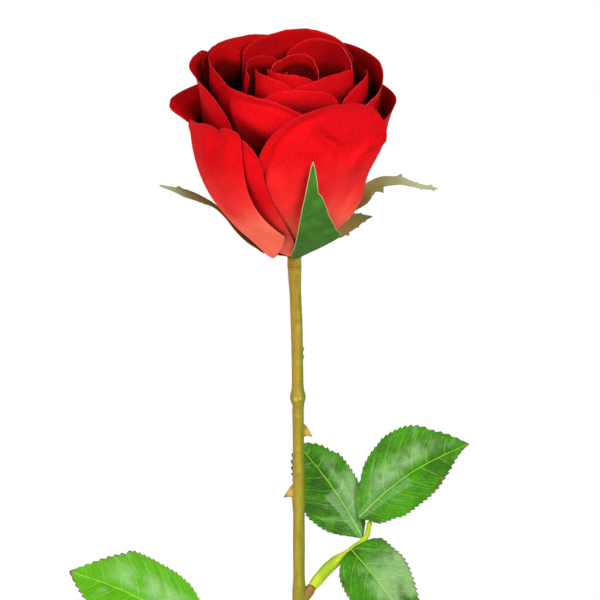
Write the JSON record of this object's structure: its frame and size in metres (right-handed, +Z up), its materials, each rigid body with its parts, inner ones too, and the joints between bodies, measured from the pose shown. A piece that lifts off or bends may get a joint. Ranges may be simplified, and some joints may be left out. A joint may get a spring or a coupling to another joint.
{
  "type": "artificial rose in a bud vase",
  "caption": "Single long-stemmed red fabric rose with leaves, thorns and a green calyx, standing in a plain white ceramic bud vase.",
  "frame": {"origin": "centre of the vase's flat foot, on the surface it stands on", "axes": "+Z up along the vase's axis, +X to the right and -Y towards the front of the flower"},
  "size_m": [0.161, 0.0981, 0.4592],
  "materials": {
    "glazed_vase": "satin white glaze",
    "stem": "moulded, olive shading to brown",
    "leaf_stalk": "moulded, lime green",
    "leaf": "coated leaf cloth with pale veins",
    "calyx": "woven, green outside and olive inside",
    "petal": "woven satin, saturated red fading to pink at the base"
  },
  "bodies": {
    "root": {"vase": "glazed_vase", "stem": "stem", "receptacle": "stem", "right_leaf_stalk": "leaf_stalk", "left_leaf_stalk": "leaf_stalk", "right_leaflet_upper_left": "leaf", "right_leaflet_tip": "leaf", "right_leaflet_lower": "leaf", "left_leaflet_tip": "leaf", "left_leaflet_lower": "leaf", "left_leaflet_back": "leaf", "calyx": "calyx", "outer_petal_1": "petal", "outer_petal_2": "petal", "outer_petal_3": "petal", "outer_petal_4": "petal", "outer_petal_5": "petal", "outer_petal_6": "petal", "outer_petal_7": "petal", "cup_petal_1": "petal", "cup_petal_2": "petal", "cup_petal_3": "petal", "cup_petal_4": "petal", "cup_petal_5": "petal", "inner_petal_1": "petal", "inner_petal_2": "petal", "inner_petal_3": "petal", "inner_petal_4": "petal", "bud_petal_1": "petal", "bud_petal_2": "petal", "bud_petal_3": "petal", "bud_petal_4": "petal", "bud_petal_5": "petal", "bud_petal_6": "petal", "bud_petal_7": "petal"}
  },
  "joints": []
}
